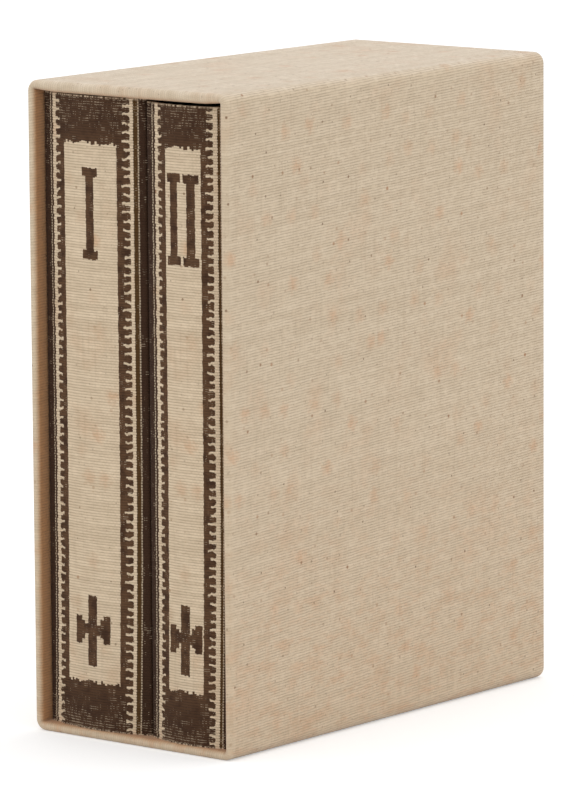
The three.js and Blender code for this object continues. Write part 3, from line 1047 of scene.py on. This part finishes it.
def page_edges_material():
    material, nodes, shader = new_material("page_edges", 0.85)
    place = object_place(nodes)
    across_leaves = nodes.stretched((place["X"], 6.0), (place["Y"], 0.02), nodes.times(place["Z"], 0.02))
    leaf = nodes.noise(across_leaves, detail=5.0, roughness=0.8)
    gathering = nodes.noise(nodes.vector(nodes.times(place["X"], 0.55), 0.0), detail=1.0)
    fibre = nodes.place(paper_fibre, {"X": place["X"], "Y": place["Y"], "Z": place["Z"]})
    joins = nodes.times(nodes.step(gathering, 0.5, 0.75), 0.4)
    foxing = nodes.times(nodes.step(fibre["Mottle"], 0.5, 0.8), 0.3)
    colour = nodes.mix(nodes.step(leaf, 0.35, 0.7), LEAF_PALE, LEAF_SHADE)
    colour = nodes.mix(joins, colour, GATHERING_SHADE)
    colour = nodes.mix(foxing, colour, FOXED)
    nodes.join(colour, shader.inputs["Base Color"])
    bump(nodes, shader, leaf, 0.12 * MM)
    set_values(shader, Specular_IOR_Level=0.3)
    return material


print("paper group:", len(paper_fibre.nodes), "nodes")

# %% Papers and boards


def dress(node_name, material):
    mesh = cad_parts[node_name].data
    mesh.materials.clear()
    mesh.materials.append(material)


grey_board = paper_material("grey_board", srgb(150, 146, 137), srgb(124, 120, 112))
endpaper = paper_material("endpaper", srgb(232, 222, 199), srgb(219, 206, 180))
lining_paper = paper_material("lining_paper", srgb(222, 209, 184), srgb(205, 190, 163))
page_edges = page_edges_material()
for side in ("left", "right", "top", "bottom", "back"):
    dress(f"case_{side}_board", grey_board)
dress("case_lining", lining_paper)
dress("case_back_lining", lining_paper)
for volume in VOLUMES:
    for part in ("front_board", "back_board", "spine_inlay"):
        dress(f"{volume}_{part}", grey_board)
    dress(f"{volume}_spine_lining", lining_paper)
    dress(f"{volume}_front_endpaper", endpaper)
    dress(f"{volume}_back_endpaper", endpaper)
    dress(f"{volume}_pages", page_edges)
print("papers and boards dressed")

# %% [markdown]
# ## Headbands
#
# A headband is a cord with silk or cotton wound round it, sewn at the head and tail of the pages. The
# winding repeats along an arc, so Geometry Nodes make it: a bead for each turn of thread, set on a curve
# that follows the spine, turned to face along it. A twisted screw of thread would look the same at this
# size and need far more faces.

# %% Headband tree
TURN_PITCH, THREAD_WIDTH = 0.62 * MM, 0.36 * MM
BEAD_SEGMENTS, BEAD_RINGS = 12, 8


def make_winding_tree():
    tree = bpy.data.node_groups.new("wound_band", "GeometryNodeTree")
    face = tree.interface
    face.new_socket("Geometry", in_out="INPUT", socket_type="NodeSocketGeometry")
    sizes = {"Turn Pitch": TURN_PITCH, "Band Radius": 1.05 * MM, "Thread Width": THREAD_WIDTH}
    for socket_name, default in sizes.items():
        socket = face.new_socket(socket_name, in_out="INPUT", socket_type="NodeSocketFloat")
        socket.default_value = default
    face.new_socket("Thread", in_out="INPUT", socket_type="NodeSocketMaterial")
    face.new_socket("Geometry", in_out="OUTPUT", socket_type="NodeSocketGeometry")
    add, link = tree.nodes.new, tree.links.new
    start, end = add("NodeGroupInput"), add("NodeGroupOutput")
    points = add("GeometryNodeCurveToPoints")
    points.mode = "LENGTH"
    link(start.outputs["Geometry"], points.inputs["Curve"])
    link(start.outputs["Turn Pitch"], points.inputs["Length"])
    bead = add("GeometryNodeMeshUVSphere")
    bead.inputs["Segments"].default_value = BEAD_SEGMENTS
    bead.inputs["Rings"].default_value = BEAD_RINGS
    bead.inputs["Radius"].default_value = 1.0
    size = add("ShaderNodeCombineXYZ")
    link(start.outputs["Band Radius"], size.inputs["X"])
    link(start.outputs["Band Radius"], size.inputs["Y"])
    link(start.outputs["Thread Width"], size.inputs["Z"])
    place = add("GeometryNodeInstanceOnPoints")
    link(points.outputs["Points"], place.inputs["Points"])
    link(bead.outputs["Mesh"], place.inputs["Instance"])
    link(points.outputs["Rotation"], place.inputs["Rotation"])
    link(size.outputs["Vector"], place.inputs["Scale"])
    real = add("GeometryNodeRealizeInstances")
    link(place.outputs["Instances"], real.inputs["Geometry"])
    shade = add("GeometryNodeSetShadeSmooth")
    link(real.outputs["Geometry"], shade.inputs["Geometry"])
    paint = add("GeometryNodeSetMaterial")
    link(shade.outputs["Geometry"], paint.inputs["Geometry"])
    link(start.outputs["Thread"], paint.inputs["Material"])
    link(paint.outputs["Geometry"], end.inputs["Geometry"])
    return tree


winding = make_winding_tree()
print("winding tree:", len(winding.nodes), "nodes")

# %% From a tree to a plain mesh


def run_tree(source, tree, values, name):
    """Runs a tree on an object, keeps the result as a plain mesh object and removes the source."""
    modifier = source.modifiers.new(tree.name, "NODES")
    modifier.node_group = tree
    names = {item.name: item.identifier for item in tree.interface.items_tree
             if item.item_type == "SOCKET" and item.in_out == "INPUT"}
    for key, value in values.items():
        modifier[names[key]] = value
    source.update_tag()
    bpy.context.view_layer.update()
    graph = bpy.context.evaluated_depsgraph_get()
    mesh = bpy.data.meshes.new_from_object(source.evaluated_get(graph), depsgraph=graph)
    bpy.data.objects.remove(source)
    mesh.name = name
    return in_scene(name, mesh)


print("ready to run the winding tree")

# %% Band thread and headbands
THREAD_PALE, THREAD_DARK, THREAD_SHADE = srgb(219, 200, 165), srgb(96, 66, 44), srgb(60, 42, 30)
COLOUR_RUN = 1.86
BAND_END = 0.4 * MM
BAND_STEPS = 40


def thread_material():
    material, nodes, shader = new_material("band_thread", 0.6)
    place = object_place(nodes)
    turn = nodes.chance(nodes.math("FLOOR", nodes.over(place["X"], COLOUR_RUN)))
    fine = nodes.noise(nodes.vector(nodes.times(place["X"], 9.0), place["Y"], place["Z"]), scale=1.5)
    colour = nodes.mix(nodes.math("GREATER_THAN", turn, 0.55), THREAD_PALE, THREAD_DARK)
    colour = nodes.mix(nodes.times(fine, 0.3), colour, THREAD_SHADE)
    nodes.join(colour, shader.inputs["Base Color"])
    bump(nodes, shader, fine, 0.05 * MM)
    set_values(shader, Sheen_Weight=0.2)
    return material


def band_curve(name, low, high):
    """An open arc through the middle of a band's box, bowed towards the mouth as the spine is."""
    radius = (high.z - low.z) / 2
    half = (high.x - low.x) / 2 - BAND_END
    front, back = low.y + radius, high.y - radius
    middle = Vector(((low.x + high.x) / 2, 0, (low.z + high.z) / 2))
    curve = bpy.data.curves.new(name, "CURVE")
    curve.dimensions = "3D"
    spline = curve.splines.new("POLY")
    spline.points.add(BAND_STEPS)
    for i, point in enumerate(spline.points):
        t = 2 * i / BAND_STEPS - 1
        point.co = (middle.x + half * t, front + (back - front) * t * t, middle.z, 1)
    return in_scene(name, curve)


band_thread = thread_material()
for volume in VOLUMES:
    for part in ("headband", "tailband"):
        node = f"{volume}_{part}"
        low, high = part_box(node)
        values = {"Band Radius": (high.z - low.z) / 2, "Thread": band_thread}
        piece = run_tree(band_curve(node + "_core", low, high), winding, values, node + "_winding")
        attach(piece, volume)
        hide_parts(node)
        print(piece.name, "faces:", len(piece.data.polygons))

# %% [markdown]
# ## The light and the floor
#
# The set stands in even light from all round, as in a light tent, with one broad lamp above and behind it.
# Even light leaves the case's inner wall and the gaps between the volumes to their own shade, which no
# lamp at the front would do. The floor and the surround are white to the camera, and the floor keeps the
# shadow: the camera sees its lit surface with an even glow added, so only the shadow falls below white.

# %% Floor and surround
SURROUND = 0.97
FLOOR_GREY, FLOOR_GLOW, FLOOR_SIZE = 0.8, 0.35, 60


def seen_directly(nodes):
    """1 for the camera and for reflections, which see the white surround, and 0 for the light itself."""
    path = nodes.add("ShaderNodeLightPath").outputs
    mirrored = nodes.math("MAXIMUM", path["Is Glossy Ray"], path["Is Transmission Ray"])
    return nodes.math("MAXIMUM", path["Is Camera Ray"], mirrored)


def make_floor():
    bpy.ops.mesh.primitive_plane_add(size=FLOOR_SIZE, location=(0, 0, 0))
    floor = bpy.context.object
    floor.name = "floor"
    material, nodes, shader = new_material("floor", 1.0)
    set_values(shader, Base_Color=(FLOOR_GREY, FLOOR_GREY, FLOOR_GREY, 1), Specular_IOR_Level=0.0,
               Emission_Color=(1, 1, 1, 1))
    nodes.join(nodes.spread(seen_directly(nodes), 0.0, FLOOR_GLOW), shader.inputs["Emission Strength"])
    floor.data.materials.append(material)
    floor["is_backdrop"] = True


def make_world():
    world = bpy.data.worlds.new("studio")
    world.use_nodes = True
    nodes = Nodes(world.node_tree)
    background = world.node_tree.nodes["Background"]
    background.inputs["Color"].default_value = (1, 1, 1, 1)
    nodes.join(nodes.spread(seen_directly(nodes), SURROUND, 1.0), background.inputs["Strength"])
    bpy.context.scene.world = world


make_floor()
make_world()
print("floor and surround ready")

# %% The lamp
LAMP_PLACE, LAMP_TARGET = Vector((0.2, 0.3, 2.2)), Vector((0, 0, 0.12))
LAMP_SIZE, LAMP_POWER = 1.2, 4

lamp = in_scene("above", bpy.data.lights.new("above", "AREA"))
lamp.data.shape = "DISK"
lamp.data.size = LAMP_SIZE
lamp.data.energy = LAMP_POWER
lamp.location = LAMP_PLACE
lamp.rotation_euler = (LAMP_PLACE - LAMP_TARGET).to_track_quat("Z", "Y").to_euler()
bpy.context.scene.view_settings.view_transform = "Standard"
print("lamp power, W:", lamp.data.energy)

# %% [markdown]
# ## The dressed size
#
# The dressed object has to fill the same box as the imported model, so the script ends by printing
# the size of its box.

# %% Sizes
low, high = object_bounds()
print("visual box, mm:", [round(v / MM, 2) for v in (high - low)])
